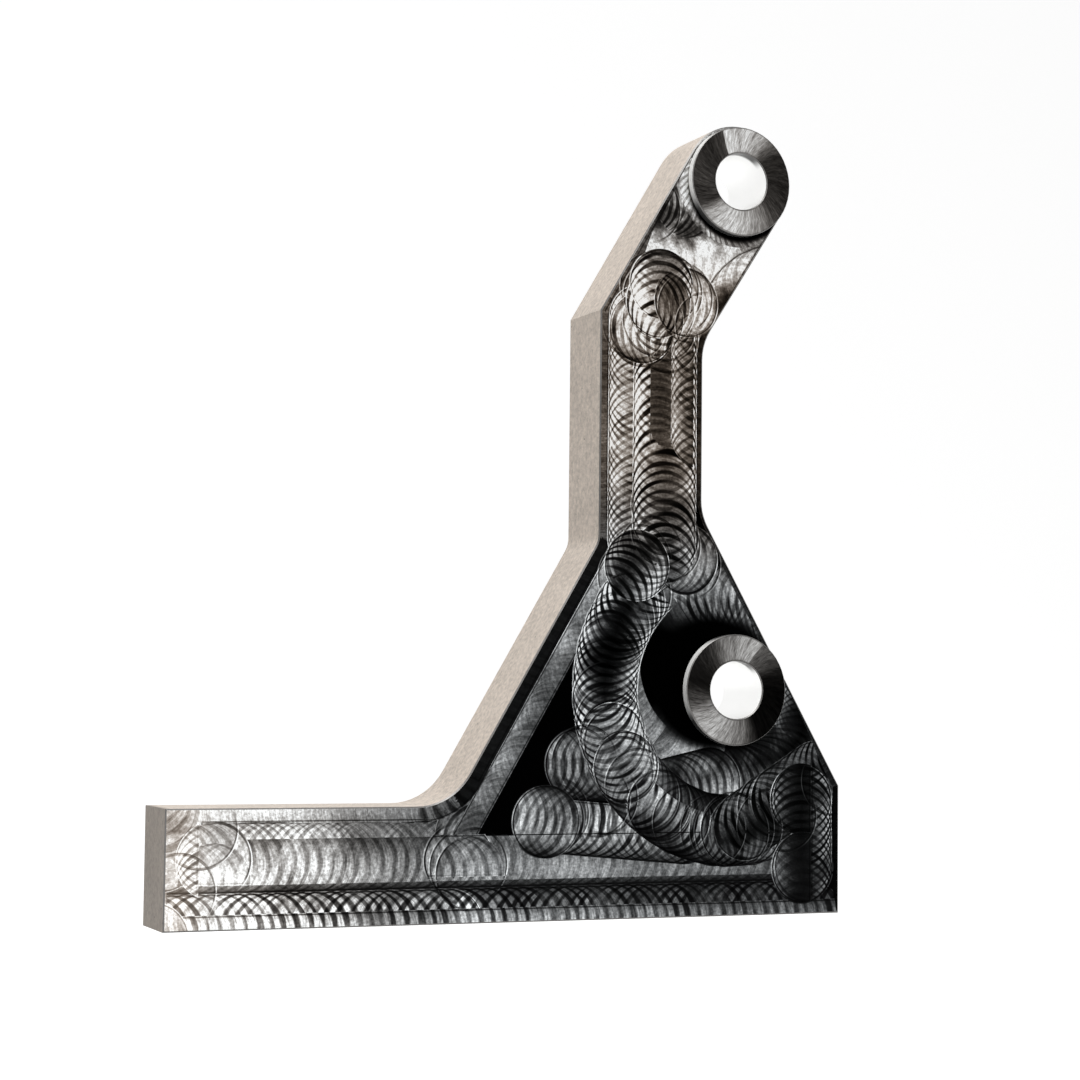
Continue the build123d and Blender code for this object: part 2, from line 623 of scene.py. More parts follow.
# %% List the passes on the crank and the arm
upper_ring = {"low": 4.6, "high": 7.5, "pitch": 2.2, "border": 0}
crank_passes = [
    straight("satin", (100, 147.3), (140, 147.3), (0.2, 0.1, 1.12, 0.24), low=-20, high=40, border=0),
    stop("crank_top", (117.3, 160.4), 0, (0.7, 0.1, 0.9, 0.35), pitch=1.9, border=0.3),
    swept("beside_boss", upper_hole, 19.5, 158, 228, (0.4, 0.1, 1.05, 0.35), **upper_ring),
    swept("below_boss", upper_hole, 19.5, 228, 300, (0.4, 0.1, 0.82, 0.6), **upper_ring),
    swept("crank_corner", (142, 131), 14.06, 90, 190, (0.35, 0.2, 0.95, 0.15)),
]
crank_pause = stop("crank_pause", (110.4, 137), 120, (0.85, 0.3, 1.05, 0.2), pitch=2.3)
core_reach = straight("core_reach", (115.6, 111.5), (115.6, 140), unseen)
arm_passes = [
    stop("arm_foot_right", (117.7, 79.7), 0, (0.6, 0.4, 0.85, 0.1), pitch=2.2),
    straight("arm_left", (106.2, 84), (106.2, 133), (0.62, 0.62, 1.1, 0.55), pitch=1.9),
    straight("arm_main", (112.3, 82), (112.3, 136), (0.95, 0.5, 1.35, 0.27), pitch=2.4),
    straight("arm_right", (121.6, 108), (121.6, 131), (0.6, 0.55, 0.82, 0.36),
             low=2.2, pitch=2.05, border=0.3),
    straight("arm_core", (110.6, 112), (110.6, 122), (0.4, 0.2, 0.66, 0.38),
             low=-3.2, high=2, pitch=2.05, border=0, within=core_reach),
    stop("arm_foot_left", (105.6, 77.8), 50, (0.9, 0.6, 1.15, 0.08), pitch=2.0),
    stop("arm_pause", (106.4, 131), 160, (0.85, 0.3, 0.95, 0.2), pitch=2.4),
    crank_pause,
    stop("crank_pause_right", (117.4, 137.6), 10, (0.4, 0.15, 1.05, 0.4), pitch=1.9),
    stop("crank_pause_high", (111.2, 141.3), 90, (0.95, 0.4, 1.5, 0.25), pitch=2.2),
    stop("crank_core", (117.4, 137.6), 10, (0.92, 0.4, 0.55, 0.2), pitch=1.9, within=crank_pause),
]
print(len(crank_passes) + len(arm_passes), "passes on the arm and the crank")

# %% List the passes at the foot's free end
foot_end_passes = [
    straight("foot_end", (-0.4, 16), (-0.4, 24), (0.12, 0.12, 0.76, 0.7)),
    stop("foot_start", (10.4, 14.3), 0, (0.32, 0.22, 0.72, 0.6), low=-4.6, border=0.35),
    stop("foot_start_inner", (10.2, 10), 0, (0.25, 0.3, 0.65, 0.6), low=-0.7, border=0.35),
    stop("foot_end_top", (-0.6, 24), 300, (0.4, 0.1, 0.78, 0.6), border=0.4),
    stop("foot_start_left", (10.2, 14.3), 90, (0.6, 0.4, 0.95, 0.5), low=3, pitch=1.8, border=0.4),
    stop("foot_end_low", (-2.4, -1.6), 200, (0.25, 0.1, 0.64, 0.7), border=0.8),
]
print(len(foot_end_passes), "passes at the foot's free end")

# %% [markdown]
# ## The strip along the edge
#
# A last pass ran round the outline with the cutter's middle near the edge, so a strip of up to
# 3 mm shows grooves square to the edge. It is drawn inwards from the rim of the milled face, as
# wide at each of the named places as the real one is there.

# %% Follow the rim of the milled face
def ordered_loops(edges):
    """The closed loops that a set of edges makes, as lists of corners."""
    left = set(edges)
    loops = []
    while left:
        edge = left.pop()
        loop = list(edge.verts)
        while loop[-1] is not loop[0]:
            edge = next(e for e in loop[-1].link_edges if e in left)
            left.remove(edge)
            loop.append(edge.other_vert(loop[-1]))
        loops.append(loop[:-1])
    return loops


def with_next(ring):
    """Each corner of a closed line, with the one after it."""
    return np.stack([ring, np.roll(ring, -1, axis=0)], axis=1)


def signed_area(ring):
    return np.cross(ring, np.roll(ring, -1, axis=0)).sum() / 2


def widest_ring(edges):
    """The longest of some closed loops, anticlockwise from the foot's lower left corner."""
    rings = [np.array([plate_point(vert.co) for vert in loop]) for loop in ordered_loops(edges)]
    ring = max(rings, key=lambda one: np.ptp(one[:, 0]))
    if signed_area(ring) < 0:
        ring = ring[::-1]
    return np.roll(ring, -int(np.argmin(ring.sum(axis=1))), axis=0)


outer_rim = widest_ring(rim_edges)
wall_ring = widest_ring(wall_edges)
rim_area = float(signed_area(outer_rim))
print("Outer rim:", len(outer_rim), "corners,", round(rim_area), "square mm inside")

# %% Say how wide the strip is and how it looks
foot_height = 25.4
arm_start, arm_middle, crank_start, heel_start = 84, 120, 132, 150
bars_start, bars_top = 48, 50
strip_widths = {
    (0, 0): 0.3, (10, 0): 0.15, (157, 0): 0.3, (157, 8): 1.6, (157, 28): 1.3, (145, 48): 0.3,
    (122, 89): 0.6, (122, 96): 1.5, (122, 126): 1.5, (127, 137): 0.4, (142, 160): 0.2,
    (130, 179): 0.12, (117, 172): 0.2, (108, 155): 1.0, (103, 146): 2.5, (96, 134): 2.5,
    (96, 90): 2.0, (92, 76): 2.8, (70, 38): 2.9, (62, 25): 3.3, (35, 25): 2.9, (10, 25): 2.9,
    (0, 25): 0.3,
}
strip_form = {"low": -1.0, "pitch": 2.6, "seed": 11}


def strip_marks(point):
    """Silver along the foot, black up the gusset, brown up the arm and black along the heel.

    The bars are plain to see only round the inside corner, between the foot and the gusset.
    """
    x, z = point
    if z > arm_start:
        shine = 0.5 if x < arm_middle else 0.3 if z < crank_start else 0.95
    elif z > foot_height + 2:
        shine = 0.16 if x < arm_middle else 0.3
    else:
        shine = 0.68 if x < heel_start else 0.06
    depth = 0.12 if x < bars_start else 0.6 if z < bars_top else 0.3
    return Marks(ahead=depth, behind=0.0, shine=shine, least=0.6)


def strip_width(point):
    """The width at a point of the rim, from the named places nearest to it."""
    places = np.array(list(strip_widths))
    weights = 1 / (np.hypot(*(places - point).T) + 0.5) ** 3
    return float(weights @ np.array(list(strip_widths.values())) / weights.sum())


print("Strip from", min(strip_widths.values()), "to", max(strip_widths.values()), "mm wide")

# %% Draw the strip's inner edge
def inner_strip_edge(ring):
    """The rim moved inwards by the strip's width at each corner."""
    before = ring - np.roll(ring, 1, axis=0)
    after = np.roll(ring, -1, axis=0) - ring
    before, after = (side / np.hypot(*side.T)[:, None] for side in (before, after))
    inward = np.stack([-(before + after)[:, 1], (before + after)[:, 0]], axis=1)
    inward /= (1 + (before * after).sum(axis=1))[:, None]
    return ring + inward * np.array([strip_width(point) for point in ring])[:, None]


def more_corners(ring, spacing=4.0):
    """The same closed line with its long stretches divided."""
    made = []
    for start, end in with_next(ring):
        count = ceil(np.hypot(*(end - start)) / spacing)
        made += [start + (end - start) * number / count for number in range(count)]
    return np.array(made)


strip_outer = more_corners(outer_rim)
strip_inner = inner_strip_edge(strip_outer)
print("Inner edge:", len(strip_inner), "corners")

# %% Make one straight pass for each stretch of the rim
strip_passes = []
along_underside = []
run = 0.0
for start, end in with_next(outer_rim):
    way = end - start
    length = float(np.hypot(*way))
    first = tuple(start - way / length * run)
    middle = (start + end) / 2
    form = {"high": strip_width(middle), **strip_form}
    angle = atan2(way[1], way[0])
    strip_passes.append(CutterPass("edge_strip", first, angle, endless, 0.0, strip_marks(middle), **form))
    along_underside.append(max(start[1], end[1]) < 1)
    run += length
print("Edge strip:", len(strip_passes), "stretches over", round(run), "mm")

# %% [markdown]
# ## Fine score lines
#
# Wherever the cutter paused, turned or lifted it also scored a hair-thin circle that crosses the
# marks below it. Such a circle rarely shows all the way round, so each has a direction, in
# degrees, on which side of its middle it shows best.

# %% List the circles that the cutter scored
def along_sweep(first, last, step, side):
    """Score lines at even turns along the big sweep round the lower boss."""
    x, z = lower_hole
    turns = np.radians(np.arange(first, last, step))
    return [(x + boss_sweep * cos(turn), z + boss_sweep * sin(turn), side) for turn in turns]


foot_scores = [
    (10.4, 14.3, 30), (64.0, 13.6, 180), (65.3, 12.2, 180), (66.7, 10.7, 200), (67.4, 12.4, 30),
    (7.4, 20.5, 300), (3.0, 8.0, 45),
]
corner_scores = [
    (84.2, 21.5, 180), (85.4, 21.9, 0), (86.6, 23.0, 0), (91.8, 33.9, 120), (93.4, 34.5, 100),
    (111.7, 24.8, 200), (111.5, 25.2, 320), (103.5, 33.2, 215), (103.3, 33.9, 330), (102.5, 33.2, 60),
    (102.2, 32.0, 60), (100.0, 40.0, 150), (101.0, 38.7, 150), (100.2, 39.0, 45), (100.0, 41.2, 45),
    (98.4, 26.5, 320), (96.5, 26.0, 330),
]
heel_scores = [
    (127.0, 19.3, 215), (128.2, 19.0, 220), (129.8, 19.0, 180), (131.2, 18.6, 0), (132.6, 19.4, 340),
    (129.8, 19.6, 120), (147.4, 25.9, 180), (148.2, 26.3, 190), (147.4, 25.9, 320), (147.8, 10.4, 190),
    (148.6, 10.9, 200), (147.8, 10.4, 320), (155.5, 30.2, 240), (139.0, 24.0, 150), (142.5, 26.0, 150),
]
arm_scores = [
    (105.6, 77.8, 160), (106.2, 79.0, 90), (104.0, 75.2, 180), (117.7, 79.7, 300), (118.6, 78.6, 0),
    (112.0, 86.0, 250), (112.3, 88.4, 240), (113.5, 82.5, 340), (113.0, 84.5, 0), (112.0, 91.5, 230),
    (109.0, 81.0, 90), (106.3, 130.4, 250), (104.6, 131.8, 270), (112.0, 132.0, 280),
    (112.6, 129.4, 300), (111.5, 134.0, 260), (109.5, 133.0, 240),
]
crank_scores = [
    (111.2, 141.3, 120), (110.4, 137.0, 200), (109.6, 138.6, 180), (111.6, 135.6, 300),
    (117.4, 137.4, 0), (117.4, 138.0, 225), (116.2, 138.8, 0), (118.2, 136.6, 200), (107.9, 158.5, 0),
    (113.6, 140.0, 30), (108.8, 140.4, 150), (112.7, 140.6, 0), (108.8, 133.2, 330), (122.6, 132.4, 170),
]
score_lines = foot_scores + corner_scores + heel_scores + arm_scores + crank_scores
score_lines += along_sweep(138, 178, 4.3, 320) + along_sweep(146, 212, 9.5, 150)
score_lines += along_sweep(222, 296, 13, 130) + along_sweep(228, 300, 17, 310)
print(len(score_lines), "score lines")

# %% [markdown]
# ## Filling the milled face again
#
# A constrained triangulation takes the face's rim, the outlines of all the passes and an even
# grid of points, and joins them with small triangles that never cross an outline. Each triangle
# then belongs to the last pass that covers its middle. Where an outline meets the rim, the rim's
# edge is split at that very point, so the new face and the old edge breaks share every corner.

# %% Gather the lines and points to join
grid_step = 0.6
clear_of_lines = 0.22
under_strip = foot_passes + boss_passes + crank_passes
over_strip = arm_passes + foot_end_passes
bare_form = {"low": -endless, "high": endless}
bare_pass = swept("uncut_corner", (0, 0), endless, 0, 10, (0.2, 0.1, 0.006, 0.1), **bare_form)
all_passes = [bare_pass] + under_strip + strip_passes + over_strip

rim_points = {vert: plate_point(vert.co) for edge in rim_edges for vert in edge.verts}
rim_verts = list(rim_points)
rim_order = {vert: number for number, vert in enumerate(rim_verts)}
points = [rim_points[vert] for vert in rim_verts]
lines = [tuple(rim_order[vert] for vert in edge.verts) for edge in rim_edges]
rim_lines = np.array([[points[a], points[b]] for a, b in lines])


def within_lines(lines_round, x, z):
    """Which of the points lie inside closed lines, counted by crossings."""
    crossings = np.zeros(len(x), dtype=int)
    for (ax, az), (bx, bz) in lines_round:
        if az == bz:
            continue
        spans = (az > z) != (bz > z)
        crossings += spans & (x < ax + (z - az) / (bz - az) * (bx - ax))
    return crossings % 2 == 1


def add_closed_line(ring):
    first = len(points)
    points.extend(tuple(point) for point in ring)
    lines.extend((first + number, first + (number + 1) % len(ring)) for number in range(len(ring)))


for item in under_strip + over_strip:
    add_closed_line(item.outline())
add_closed_line(strip_inner)
print(len(points), "points on", len(lines), "lines")

# %% Add the even grid, clear of every line
near_lines = []
for a, b in lines:
    start, end = np.array(points[a]), np.array(points[b])
    count = ceil(np.hypot(*(end - start)) / clear_of_lines) + 1
    near_lines += list(start + (end - start) * np.linspace(0, 1, count)[:, None])
line_tree = KDTree(len(near_lines))
for number, point in enumerate(near_lines):
    line_tree.insert((point[0], point[1], 0), number)
line_tree.balance()

long_side, high_side = 2 * half_length / mm, cad_box[1][2] / mm
grid_x, grid_z = np.meshgrid(np.arange(0, long_side, grid_step), np.arange(0, high_side, grid_step))
grid_x[1::2] += grid_step / 2
grid_x, grid_z = grid_x.ravel(), grid_z.ravel()
wanted = within_lines(rim_lines, grid_x, grid_z)
grid = [
    (x, z)
    for x, z in zip(grid_x[wanted], grid_z[wanted])
    if line_tree.find((x, z, 0))[2] > clear_of_lines
]
points += grid
print(len(grid), "grid points")

# %% Triangulate, and give each triangle its pass
whole_hull = 0
tell_apart = 1e-5
corners, edges, triangles, _, edge_sources, _ = delaunay_2d_cdt(
    [Vector(point) for point in points], lines, [], whole_hull, tell_apart
)
corner_places = np.array([tuple(corner) for corner in corners])
triangles = np.array(triangles)
middles = corner_places[triangles].mean(axis=1)
triangles = triangles[within_lines(rim_lines, middles[:, 0], middles[:, 1])]
mid_x, mid_z = corner_places[triangles].mean(axis=1).T

pass_of = np.zeros(len(triangles), dtype=int)
for item in under_strip:
    pass_of[item.covers(mid_x, mid_z)] = all_passes.index(item)
on_strip = ~within_lines(with_next(strip_inner), mid_x, mid_z)
foot_pass_of = pass_of.copy()
nearest = np.full(len(triangles), np.inf)
for number, (start, end) in enumerate(with_next(outer_rim)):
    way = end - start
    share = np.clip(((mid_x - start[0]) * way[0] + (mid_z - start[1]) * way[1]) / (way @ way), 0, 1)
    far = np.hypot(mid_x - start[0] - share * way[0], mid_z - start[1] - share * way[1])
    closer = on_strip & (far < nearest)
    nearest[closer] = far[closer]
    strip_pass = all_passes.index(strip_passes[number])
    pass_of[closer] = foot_pass_of[closer] if along_underside[number] else strip_pass
for item in over_strip:
    pass_of[item.covers(mid_x, mid_z)] = all_passes.index(item)
print(len(triangles), "triangles;", int((pass_of == 0).sum()), "outside every pass")

# %% Split the rim where an outline meets it
def split_rim(edge, places):
    """Splits one rim edge at the given places and returns the new corners."""
    made = []
    near, far = edge.verts
    for place in sorted(places, key=lambda p: (Vector(p) - near.co).length):
        share = (Vector(place) - near.co).length / (far.co - near.co).length
        edge, vert = bmesh.utils.edge_split(edge, near, share)
        made.append(vert)
        edge = next(e for e in vert.link_edges if far in e.verts)
        near = vert
    return made


def space_point(x, z):
    return Vector((x * mm - half_length, floor_level, z * mm))


corner_vert = {}
on_rim = {}
for (a, b), sources in zip(edges, edge_sources):
    for source in sources:
        if source < len(rim_edges):
            on_rim.setdefault(source, set()).update((a, b))
for source, members in on_rim.items():
    edge = rim_edges[source]
    inner = []
    for corner in members:
        place = space_point(*corner_places[corner])
        end = min(edge.verts, key=lambda vert: (vert.co - place).length)
        if (end.co - place).length < same_point:
            corner_vert[corner] = end
        else:
            inner.append((corner, place))
    made = split_rim(edge, [place for _, place in inner])
    for corner, place in inner:
        corner_vert[corner] = min(made, key=lambda vert: (vert.co - place).length)
print(len(corner_vert), "corners of the new face lie on its rim")

# %% Put the new face in
inner_edges = {
    edge
    for face in floor_faces
    for edge in face.edges
    if all(beside.material_index == 0 for beside in edge.link_faces)
}
bmesh.ops.delete(brace_mesh, geom=floor_faces, context="FACES_ONLY")
bmesh.ops.delete(brace_mesh, geom=list(inner_edges), context="EDGES_FACES")

for corner in np.unique(triangles):
    if corner not in corner_vert:
        corner_vert[corner] = brace_mesh.verts.new(space_point(*corner_places[corner]))
for triangle, number in zip(triangles, pass_of):
    face = brace_mesh.faces.new([corner_vert[corner] for corner in triangle])
    face.material_index = 0
    face[pass_number] = number
brace_mesh.normal_update()
for face in brace_mesh.faces:
    if face.material_index == 0 and face.normal.y > 0:
        face.normal_flip()
open_edges = sum(not edge.is_manifold for edge in brace_mesh.edges)
print(len(brace_mesh.faces), "faces,", open_edges, "open edges")
piece_mesh = bpy.data.meshes.new("milled_brace")
brace_mesh.to_mesh(piece_mesh)
brace_mesh.free()
for name in ("custom_normal", "sharp_face"):
    # The CAD mesh's own shading was made for its loose triangles.
    if name in piece_mesh.attributes:
        piece_mesh.attributes.remove(piece_mesh.attributes[name])

# %% Write the passes and the nearest score lines onto the faces
def read_all(items, name, width=1, kind=float):
    """One property of everything in a mesh's list, with a row for each of its numbers."""
    values = np.zeros(len(items) * width, dtype=kind)
    items.foreach_get(name, values)
    return values.reshape(-1, width).T


number_of = read_all(piece_mesh.attributes["pass_number"].data, "value", kind=np.int32)[0]
face_x, face_z = plate_point(read_all(piece_mesh.polygons, "center", width=3))


def store(name, values):
    """Saves three numbers for each face as a named attribute."""
    layer = piece_mesh.attributes.new(name, "FLOAT_VECTOR", "FACE")
    layer.data.foreach_set("vector", np.array(values, dtype=np.float32).ravel())


def for_each_face(values):
    return np.array(values)[number_of]


first_seed, seed_count = 20, 37
for number, item in enumerate(all_passes):
    if item.seed is None:
        item.seed = number % seed_count + first_seed
store("path_place", for_each_face([(*item.place, item.angle) for item in all_passes]))
store("path_form", for_each_face([(item.bend, item.reach, item.marks.least) for item in all_passes]))
store("path_width", for_each_face([(item.low, item.high, item.pitch) for item in all_passes]))
store("path_marks", for_each_face([item.marks[:3] for item in all_passes]))
store("path_seed", for_each_face([(item.seed, item.curl, item.border) for item in all_passes]))

score_centres = np.array(score_lines)[:, :2]
to_centres = np.hypot(face_x[:, None] - score_centres[:, 0], face_z[:, None] - score_centres[:, 1])
by_gap = np.argsort(np.abs(to_centres - cutter_radius), axis=1)
for place, name in enumerate(("score_first", "score_second")):
    lines_here = (score_lines[line] for line in by_gap[:, place])
    store(name, [(x, z, radians(side)) for x, z, side in lines_here])
stored_names = [layer.name for layer in piece_mesh.attributes if not layer.is_internal]
print("Attributes on the faces:", stored_names)

# %% [markdown]
# ## The milled finish
#
# Milled aluminium looks bright where its fine grooves stand across the light and black where they
# lie along it, so one piece of metal shows every tone from white to black. The photograph's light
# makes upright grooves bright, level ones black, and of the slanting ones those that rise to the
# right are the brighter. The shader works out each groove's direction from the pass it belongs
# to, turns that into a tone, and breaks it up with the two families of arcs.
# The tone is painted into the colour, so each groove's glow is a painted reflection that looks the same
# from every side.

# %% Work out where a point lies on its pass
def stored(tree, name):
    """The three numbers of a named attribute of the face, for a shader."""
    settings = {"attribute_type": "GEOMETRY", "attribute_name": name}
    return tree.parts(tree.node("ShaderNodeAttribute", output="Vector", **settings))


def stored_on_mesh(tree, name):
    """The same for a Geometry Nodes tree."""
    kind = "GeometryNodeInputNamedAttribute"
    return tree.parts(tree.node(kind, {"Name": name}, data_type="FLOAT_VECTOR"))


def place_on_pass(x, z, place_x, place_z, angle, bend):
    """Along, across and heading of the pass at a point, and 1 where it is a swept one."""
    over, up = x - place_x, z - place_z
    forward = over * angle.cosine() + up * angle.sine()
    left = up * angle.cosine() - over * angle.sine()
    turn = turn_to(forward, left)
    curved = bend.above(0.01)
    along = curved.mix(forward, turn * bend)
    across = curved.mix(left, bend - distance(forward, left))
    heading = angle + curved * (turn + pi / 2)
    return along, across, heading, curved


def pass_under(tree, x, z):
    """All that the face at a point knows of its pass, and the point's place on that pass."""
    here = SimpleNamespace()
    place_x, place_z, angle = stored(tree, "path_place")
    bend, here.reach, here.least = stored(tree, "path_form")
    here.low, here.high, here.pitch = stored(tree, "path_width")
    here.ahead, here.behind, here.shine = stored(tree, "path_marks")
    here.seed, here.curl, here.border = stored(tree, "path_seed")
    place = place_on_pass(x, z, place_x, place_z, angle, bend)
    here.along, here.across, here.heading, here.curved = place
    return here


bright_direction = radians(76)
bright_narrowness = 1.3


def grooves_glow(direction):
    """How bright grooves of that direction look, from 0 to 1."""
    lean = (direction - bright_direction) * 2
    return (lean.cosine() * 0.5 + 0.5) ** bright_narrowness


print("Grooves that lean at", round(degrees(bright_direction)), "degrees look brightest")

# %% [markdown]
# The cutter's front edge and its back edge each leave a family of arcs, and where both show they
# cross. Seen close, an arc isn't one line but a dark bar beside fine scratches, so each family is
# drawn as bars that come once a pitch, with noise stretched along the arcs for the scratches.

# %% Draw bars and scratches along a family of arcs
def bars(tree, phase, across, pitch, seed):
    """Dark bars once a pitch, some broad and black, some thin and faint."""
    drift = tree.noise_at(phase * 0.1, across * 0.02, seed)
    beat = ((phase / pitch + drift * 1.2) * (2 * pi)).sine() * 0.5 + 0.5
    swell = tree.noise_at(phase * 0.5, across * 0.12, seed + 17.0, 1.0)
    return (beat + (swell - 0.5) * 1.5).step(0.35, 0.95)


def scratches(tree, phase, across, seed):
    """Fine lines between the bars, from 0 to 1 and mostly near the middle."""
    return tree.noise_at(phase * 2.6, across * 0.22, seed, 2.0, 0.7)


def arcs_at(tree, x, z, here):
    """What both families do at a point: their glow, the shade of their bars, their scratches.

    Each family comes and goes in patches, and the stronger one decides the glow. Every noise gets
    a seed of its own, so that no two of them show the same pattern.
    """
    slant = (here.across / cutter_radius).at_least(-0.999).at_most(0.999).arc_sine()
    bow = slant.cosine() * cutter_radius
    lead, trail = here.along - bow, here.along + bow
    lead_glow = grooves_glow(here.heading + slant * here.curl + pi / 2)
    trail_glow = grooves_glow(here.heading - slant * here.curl + pi / 2)
    lead_bars = bars(tree, lead, here.across, here.pitch, here.seed * 5.3)
    trail_bars = bars(tree, trail, here.across, here.pitch, here.seed * 5.3 + 70)
    lead_lines = scratches(tree, lead, here.across, here.seed * 2.9)
    trail_lines = scratches(tree, trail, here.across, here.seed + 90)
    lead_patch = tree.noise_at(x * 0.13, z * 0.13, here.seed).step(0.3, 0.6)
    trail_patch = tree.noise_at(x * 0.17, z * 0.17, here.seed + 40).step(0.35, 0.6)
    ahead = here.ahead * (lead_patch * 0.5 + 0.5)
    behind = here.behind * (trail_patch * 0.65 + 0.35)
    share = behind / (ahead + behind + 0.001)
    strongest = ahead.at_least(behind) + 0.001
    return SimpleNamespace(
        glow=(lead_glow * (ahead / strongest)).at_least(trail_glow * (behind / strongest)),
        shade=(1 - ahead * lead_bars) * (1 - behind * trail_bars),
        scratches=share.mix(lead_lines, trail_lines),
        strongest=strongest,
        relief=lead_lines,
    )


pitches = [item.pitch for item in all_passes]
print("Bars come once in", min(pitches), "to", max(pitches), "mm")

# %% [markdown]
# Where one pass ends a small step is left. It could be modelled, but it is far thinner than a
# hair, and all that is seen of it is its shade and its light: a painted dark line with a broken
# painted highlight beside it. The scored circles are the same, so both are drawn from the distance
# to the cutter's edge.

# %% Draw the edges of a pass and the score lines
def bordered(tone, here, glow, cloud, light):
    """Paints the step's shade just inside a pass's edge and a broken highlight on the edge itself."""
    past_end = (here.along.absolute() - here.reach).at_least(0.0) * (1 - here.curved)
    rim_gap = cutter_radius - distance(past_end, here.across)
    side_gap = (here.across - here.low).at_most(here.high - here.across)
    dark_gap = here.curved.mix(rim_gap.at_most(side_gap), side_gap)
    tone = tone * (1 - dark_gap.step(0.6, 0.3) * dark_gap.step(0.1, 0.3) * here.border * 0.6)
    bright_gap = here.curved.mix(rim_gap, side_gap)
    bright = bright_gap.absolute().step(0.2, 0.05) * cloud.step(0.42, 0.55) * here.border
    return tone + bright * (glow * 0.3 + 0.05) * light


def scored(tree, name, tone, x, z, light):
    """Draws one hair-thin circle, black or bright by its direction, with its inner shadow.

    The circle is about 0.1 mm wide, and its shadow lies 0.25 mm inside it.
    """
    centre_x, centre_z, side = stored(tree, name)
    over, up = x - centre_x, z - centre_z
    radius = distance(over, up)
    gap = radius - cutter_radius
    facing_side = (over * side.cosine() + up * side.sine()) / radius
    strength = facing_side.step(-0.1, 0.75)
    line = (gap - 0.05).absolute().step(0.2, 0.04) * strength
    shadow = (gap + 0.25).absolute().step(0.3, 0.08) * strength
    glow = grooves_glow(turn_to(over, up) + pi / 2)
    tone = tone * (1 - shadow * 0.5) * (1 - line * (1 - glow) * 0.7)
    return tone + line * glow * 0.42 * light


print("A score circle has a radius of", cutter_radius, "mm")

# %% [markdown]
# Aluminium under a white lamp isn't grey throughout. Its dark tones look brown where the room is
# warm and blue-grey where the sky shows in them, and only the bright ones are near white. So two
# ramps turn one tone into colour, and a mask for warmth blends them.

# %% Make ramps whose steps look even to the eye
def even_steps(dark_tint, light_tint, count=9):
    """Stops from black to near white, tinted less and less."""
    brightest, eye = 0.95, 2.2
    stops = []
    for share in np.linspace(0, 1, count):
        tint = [dark + (light - dark) * share for dark, light in zip(dark_tint, light_tint)]
        stops.append((share, tuple(brightest * share**eye * part for part in tint)))
    return stops


warm_tones = even_steps((1.0, 0.70, 0.46), (1.0, 0.99, 0.97))
cool_tones = even_steps((0.86, 0.94, 1.0), (0.96, 1.0, 1.02))


def metal_colour(tree, tone, warmth):
    """The colour of bare metal of a tone; warmth 0 is blue-grey and 1 is brown-grey."""
    warm = tree.node("ShaderNodeValToRGB", {0: tone}, stops=warm_tones)
    cool = tree.node("ShaderNodeValToRGB", {0: tone}, stops=cool_tones)
    return tree.blend(warmth, cool, warm)


print("Ramps of", len(warm_tones), "steps, one warm and one cool")

# %% [markdown]
# Over the single marks lie slow changes: the painted light falls off to the right, a painted pool
# of light brightens the free end, painted shade turns the metal black beside each boss, and a few
# soft dark spots lie on the crank and near the top of the free end. These are wide masks, each in
# millimetres of the plate, and all but the pool of light multiply the tone.

# %% Say how painted light and shade, warmth and dark spots lie over the whole face
# Painted shade beside each boss: the boss, how far the shade's middle lies from it, its reach and its
# softness, in mm.
boss_shades = [(lower_hole, (-5.2, 1.6), 15.2, 1.8), (upper_hole, (0.3, -0.8), 12.9, 0.7)]
dark_spots = [
    (112.2, 157.3, 5.7, 0.72), (118.3, 154.6, 5.2, 0.7), (128.4, 138.2, 5.6, 0.65),
    (3.0, 22.0, 5.0, 0.35),
]


def daylight(x, z):
    """How much light a place gets: less to the right, more up the arm and at the free end."""
    free_end = x.step(52, 18) * 0.63
    before_gusset = x.step(56, 68) * 0.24
    return (1.25 - x * 0.005 + z * 0.0035) * (0.72 + free_end + before_gusset)


def warmth_at(x, z):
    """The arm and the foot's free end look warmer than the gusset."""
    up_arm = z.step(70, 105) * (0.85 - z.step(138, 156) * 0.5)
    along_foot = x.step(75, 0) * 0.5
    free_end = x.step(12, 2) * 0.4
    return (up_arm + along_foot + free_end + 0.12).at_most(1.0)


def outside_boss_shade(x, z, boss, shift, reach, softness):
    """0 in the painted shade beside a boss, 1 outside it."""
    over, up = x - (boss[0] + shift[0]), z - (boss[1] + shift[1])
    return distance(over, up).step(reach - softness, reach + softness)


def outside_dark_spot(x, z, ragged, place_x, place_z, reach, depth):
    """How much of the tone a dark spot leaves: least in its middle, all of it past its ragged edge."""
    away = distance(x - place_x, z - place_z) + ragged * 6
    return 1 - away.step(reach, reach * 0.25) * depth


def painted_light_shade_and_spots(tree, tone, x, z):
    """The tone with the painted shade beside the bosses, the painted pool of light at the free end and
    the dark spots.
    """
    for boss_shade in boss_shades:
        tone = tone * outside_boss_shade(x, z, *boss_shade)
    # Painted pool of light: towards the free end the tone is drawn towards a pale grey.
    tone = (x.step(24, 4) * 0.3).mix(tone, 0.8)
    ragged = tree.noise_at(x * 0.35, z * 0.35, 8.0, 2.0) - 0.5
    for dark_spot in dark_spots:
        tone = tone * outside_dark_spot(x, z, ragged, *dark_spot)
    return tone


print(len(boss_shades), "hollows and", len(dark_spots), "dark_patches")

# %% [markdown]
# Every surface of the brace is one metal with a finish of its own. What they share is written
# once: where a point lies in the part's frame, and which inputs of the shader a finish feeds.

# %% Start and finish any metal
fine_relief = 0.00002


def new_metal(name):
    """A new metal material, its tree and the point's place in the part's own frame."""
    material = bpy.data.materials.new(name)
    material.use_nodes = True
    tree = Tree(material.node_tree)
    return material, tree, tree.node("ShaderNodeTexCoord", output="Object")


